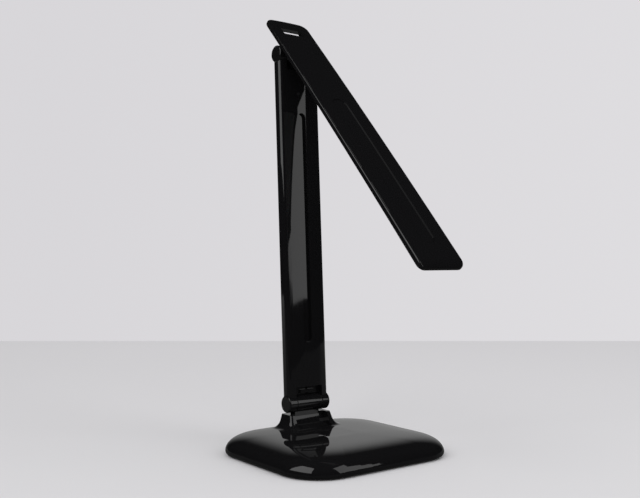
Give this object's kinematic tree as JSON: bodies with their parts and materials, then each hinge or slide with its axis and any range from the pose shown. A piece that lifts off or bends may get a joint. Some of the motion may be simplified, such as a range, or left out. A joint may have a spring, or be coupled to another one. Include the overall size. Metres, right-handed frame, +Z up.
{
  "type": "table lamp",
  "caption": "Folding desk lamp with a weighted base, an upright flat arm and a slim tilting light bar, both held by friction hinges",
  "frame": {"origin": "on the table, under the middle of the base, in the plane of the pad's underside", "axes": "+Z up, -Y towards the front where the light bar points, +X to the right seen from the front, along both hinge axes"},
  "size_m": [0.175, 0.2241, 0.4197],
  "materials": {
    "gloss_black": "polished black moulding",
    "matte_black": "fine matt black moulding",
    "screw_steel": "zinc plated screw",
    "raw_steel": "plain cold rolled steel",
    "pad_rubber": "matt dark rubber",
    "board_green": "solder resist",
    "board_white": "white solder resist",
    "lead_white": "soft wire insulation",
    "washer_white": "plain friction washer",
    "diffuser_white": "frosted opal sheet",
    "reflector_white": "white film",
    "guide_clear": "clear acrylic sheet",
    "chip_yellow": "phosphor coated chip",
    "rail_aluminium": "plain extruded rail"
  },
  "bodies": {
    "base": {"base_cover": "gloss_black", "base_plate": "matte_black", "base_screws": "screw_steel", "non_slip_pad": "pad_rubber", "ballast_plate": "raw_steel", "control_board": "board_green", "board_screws": "screw_steel", "touch_board": "board_green", "power_inlet": "matte_black", "base_lead": "lead_white", "lower_knuckle": "gloss_black", "foot_screws": "screw_steel", "lower_washers": "washer_white"},
    "arm": {"lower_hinge_pin": "raw_steel", "lower_hinge_nut": "raw_steel", "lower_hinge_caps": "gloss_black", "upper_hinge_pin": "raw_steel", "upper_hinge_nut": "raw_steel", "upper_hinge_caps": "gloss_black", "arm_front_cover": "gloss_black", "arm_rear_cover": "gloss_black", "arm_cover_screws": "screw_steel", "lower_yoke": "gloss_black", "upper_yoke": "gloss_black", "arm_spine": "raw_steel", "spine_screws": "screw_steel", "arm_wire": "lead_white"},
    "head": {"head_top_cover": "gloss_black", "head_bottom_cover": "matte_black", "head_screws": "screw_steel", "upper_knuckle": "gloss_black", "upper_knuckle_screws": "screw_steel", "upper_washers": "washer_white", "diffuser": "diffuser_white", "reflector_sheet": "reflector_white", "light_guide": "guide_clear", "led_strips": "board_white", "led_chips": "chip_yellow", "heat_rails": "rail_aluminium", "link_board": "board_white", "head_lead": "lead_white"}
  },
  "joints": [
    {"name": "arm_fold", "type": "hinge", "parent": "base", "child": "arm", "pos_m": [0, 0.0451, 0.042], "axis": [1, 0, 0], "range_deg": [-12, 93]},
    {"name": "head_tilt", "type": "hinge", "parent": "arm", "child": "head", "pos_m": [0, 0.06264, 0.38115], "axis": [1, 0, 0], "range_deg": [-110.6, 38.4]}
  ]
}
